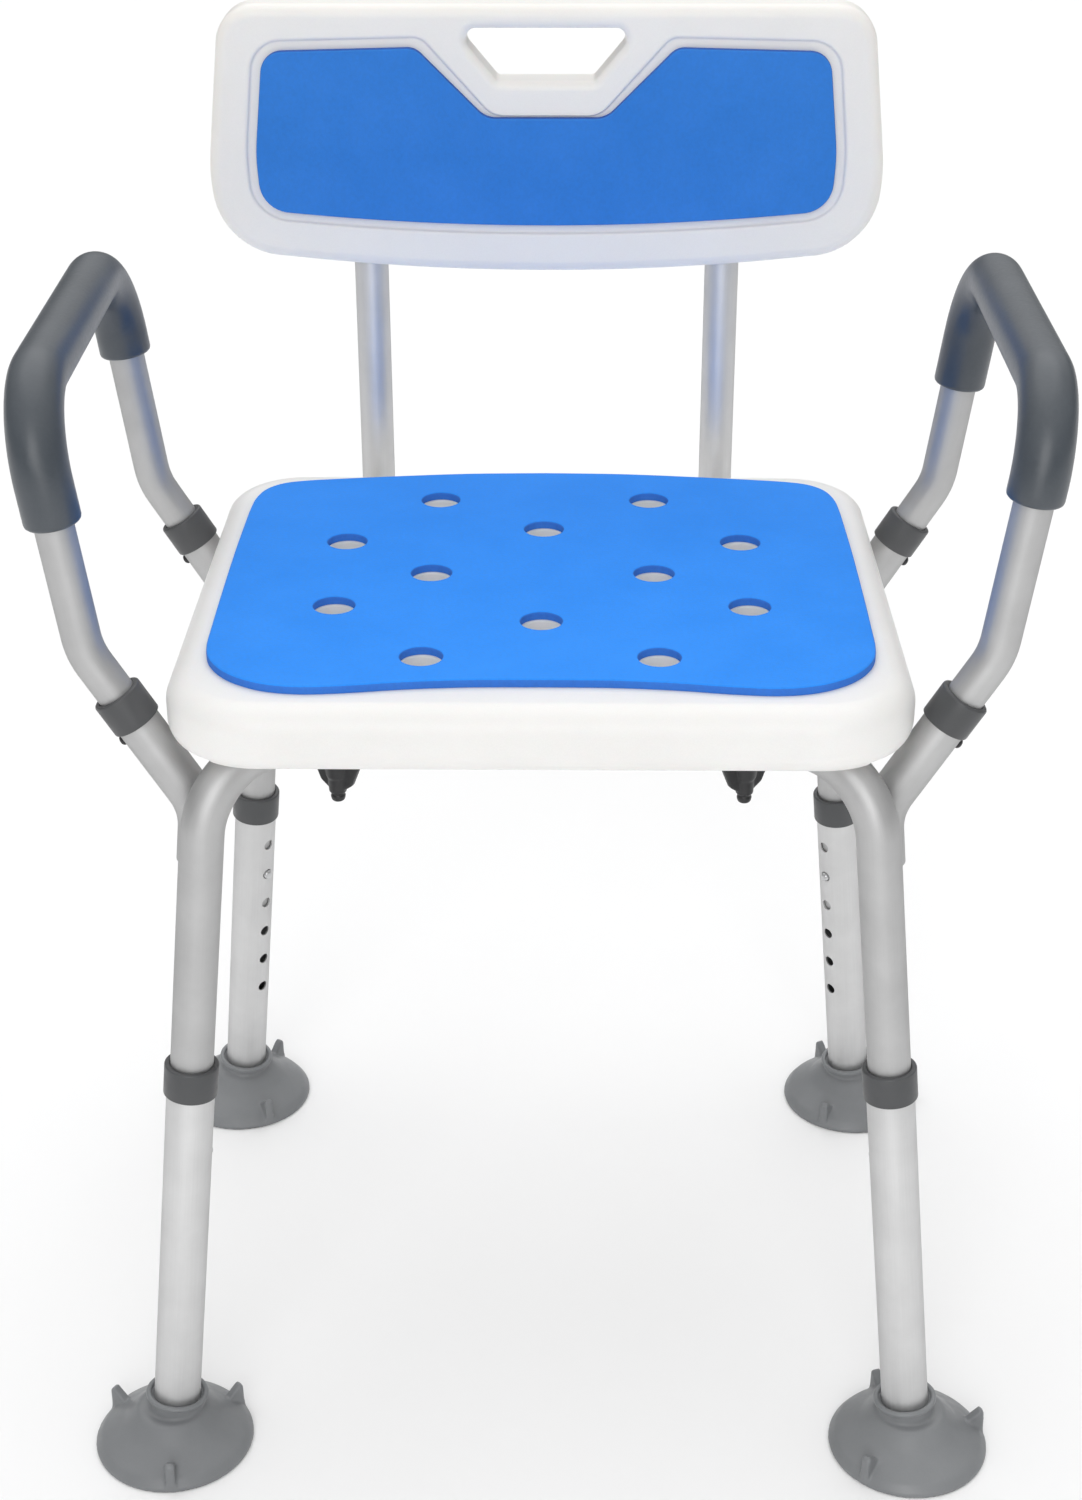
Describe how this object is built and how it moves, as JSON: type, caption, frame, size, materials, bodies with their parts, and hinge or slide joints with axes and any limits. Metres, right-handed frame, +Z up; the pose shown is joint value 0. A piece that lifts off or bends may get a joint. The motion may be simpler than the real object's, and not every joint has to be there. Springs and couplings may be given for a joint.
{
  "type": "shower stool",
  "caption": "Aluminium bath chair with padded plastic seat and back, lift-off foam-gripped arms and height-adjustable splayed legs on suction feet.",
  "frame": {"origin": "on the floor, midway between the four feet", "axes": "+Z up, front of the chair faces -Y, +X to the right as seen from the front"},
  "size_m": [0.5768, 0.4818, 0.8045],
  "materials": {
    "aluminium": "satin anodised",
    "white_plastic": "semi-gloss, blow-moulded",
    "seat_foam": "fine-grained closed-cell foam, bright blue",
    "back_foam": "fine-grained closed-cell foam, blue",
    "grip_foam": "slate foam, smooth skin",
    "grey_plastic": "satin",
    "grey_rubber": "satin rubber",
    "black_plastic": "satin",
    "steel": "plated"
  },
  "bodies": {
    "frame": {"frame_tube_long": "aluminium", "frame_tube_fr": "aluminium", "frame_tube_rl": "aluminium", "arm_socket_fl": "aluminium", "arm_socket_collar_fl": "grey_plastic", "arm_socket_fr": "aluminium", "arm_socket_collar_fr": "grey_plastic", "arm_socket_rl": "aluminium", "arm_socket_collar_rl": "grey_plastic", "arm_socket_rr": "aluminium", "arm_socket_collar_rr": "grey_plastic", "seat_board": "white_plastic", "seat_pad": "seat_foam", "back_tube_left": "aluminium", "back_bracket_left": "black_plastic", "back_panel_screw_left": "steel", "back_tube_right": "aluminium", "back_bracket_right": "black_plastic", "back_panel_screw_right": "steel", "bracket_screw_1": "steel", "bracket_screw_2": "steel", "bracket_screw_3": "steel", "bracket_screw_4": "steel", "back_panel": "white_plastic", "back_pad": "back_foam"},
    "leg_fl": {"leg_tube_fl": "aluminium", "leg_collar_fl": "grey_plastic", "foot_fl": "grey_rubber"},
    "leg_fr": {"leg_tube_fr": "aluminium", "leg_collar_fr": "grey_plastic", "foot_fr": "grey_rubber"},
    "leg_rl": {"leg_tube_rl": "aluminium", "leg_collar_rl": "grey_plastic", "foot_rl": "grey_rubber"},
    "leg_rr": {"leg_tube_rr": "aluminium", "leg_collar_rr": "grey_plastic", "foot_rr": "grey_rubber"},
    "leg_button_fl_body": {"leg_button_fl": "steel"},
    "leg_button_fr_body": {"leg_button_fr": "steel"},
    "leg_button_rl_body": {"leg_button_rl": "steel"},
    "leg_button_rr_body": {"leg_button_rr": "steel"},
    "arm_left": {"arm_tube_left": "aluminium", "arm_grip_left": "grip_foam"},
    "arm_right": {"arm_tube_right": "aluminium", "arm_grip_right": "grip_foam"},
    "arm_button_fl_body": {"arm_button_fl": "black_plastic"},
    "arm_button_fr_body": {"arm_button_fr": "black_plastic"},
    "arm_button_rl_body": {"arm_button_rl": "black_plastic"},
    "arm_button_rr_body": {"arm_button_rr": "black_plastic"},
    "wing_screw_fl_body": {"wing_screw_fl": "black_plastic"},
    "wing_screw_fr_body": {"wing_screw_fr": "black_plastic"},
    "wing_screw_rl_body": {"wing_screw_rl": "black_plastic"},
    "wing_screw_rr_body": {"wing_screw_rr": "black_plastic"}
  },
  "joints": [
    {"name": "leg_fl_height", "type": "slide", "parent": "frame", "child": "leg_fl", "axis": [-0.0944, -0.0682, -0.9932], "range_m": [-0.1, 0.025], "deforming": ["leg_button_fl"]},
    {"name": "leg_fr_height", "type": "slide", "parent": "frame", "child": "leg_fr", "axis": [0.0944, -0.0682, -0.9932], "range_m": [-0.1, 0.025], "deforming": ["leg_button_fr"]},
    {"name": "leg_rl_height", "type": "slide", "parent": "frame", "child": "leg_rl", "axis": [-0.0944, 0.0682, -0.9932], "range_m": [-0.1, 0.025], "deforming": ["leg_button_rl"]},
    {"name": "leg_rr_height", "type": "slide", "parent": "frame", "child": "leg_rr", "axis": [0.0944, 0.0682, -0.9932], "range_m": [-0.1, 0.025], "deforming": ["leg_button_rr"]},
    {"name": "leg_button_fl_press", "type": "slide", "parent": "frame", "child": "leg_button_fl_body", "axis": [-0.7631, -0.6357, 0.1162], "range_m": [0, 0.0042], "stiffness_N_per_m": 1500},
    {"name": "leg_button_fr_press", "type": "slide", "parent": "frame", "child": "leg_button_fr_body", "axis": [0.7631, -0.6357, 0.1162], "range_m": [0, 0.0042], "stiffness_N_per_m": 1500},
    {"name": "leg_button_rl_press", "type": "slide", "parent": "frame", "child": "leg_button_rl_body", "axis": [-0.7631, 0.6357, 0.1162], "range_m": [0, 0.0042], "stiffness_N_per_m": 1500},
    {"name": "leg_button_rr_press", "type": "slide", "parent": "frame", "child": "leg_button_rr_body", "axis": [0.7631, 0.6357, 0.1162], "range_m": [0, 0.0042], "stiffness_N_per_m": 1500},
    {"name": "arm_left_lift_off", "type": "slide", "parent": "frame", "child": "arm_left", "axis": [-0.5148, 0, 0.8573], "range_m": [0, 0.07], "deforming": ["arm_button_fl", "arm_button_rl"]},
    {"name": "arm_right_lift_off", "type": "slide", "parent": "frame", "child": "arm_right", "axis": [0.5148, 0, 0.8573], "range_m": [0, 0.07], "deforming": ["arm_button_fr", "arm_button_rr"]},
    {"name": "arm_button_fl_press", "type": "slide", "parent": "arm_left", "child": "arm_button_fl_body", "axis": [0.8573, 0, 0.5148], "range_m": [0, 0.0044], "stiffness_N_per_m": 1500},
    {"name": "arm_button_fr_press", "type": "slide", "parent": "arm_right", "child": "arm_button_fr_body", "axis": [-0.8573, 0, 0.5148], "range_m": [0, 0.0044], "stiffness_N_per_m": 1500},
    {"name": "arm_button_rl_press", "type": "slide", "parent": "arm_left", "child": "arm_button_rl_body", "axis": [0.8573, 0, 0.5148], "range_m": [0, 0.0044], "stiffness_N_per_m": 1500},
    {"name": "arm_button_rr_press", "type": "slide", "parent": "arm_right", "child": "arm_button_rr_body", "axis": [-0.8573, 0, 0.5148], "range_m": [0, 0.0044], "stiffness_N_per_m": 1500},
    {"name": "wing_screw_fl_turn", "type": "hinge", "parent": "frame", "child": "wing_screw_fl_body", "pos_m": [-0.1185, -0.09853, 0.44], "axis": [0, 0, 1], "continuous": true},
    {"name": "wing_screw_fr_turn", "type": "hinge", "parent": "frame", "child": "wing_screw_fr_body", "pos_m": [0.1185, -0.09853, 0.44], "axis": [0, 0, 1], "continuous": true},
    {"name": "wing_screw_rl_turn", "type": "hinge", "parent": "frame", "child": "wing_screw_rl_body", "pos_m": [-0.1155, 0.09603, 0.415], "axis": [0, 0, 1], "continuous": true},
    {"name": "wing_screw_rr_turn", "type": "hinge", "parent": "frame", "child": "wing_screw_rr_body", "pos_m": [0.1155, 0.09603, 0.415], "axis": [0, 0, 1], "continuous": true}
  ]
}
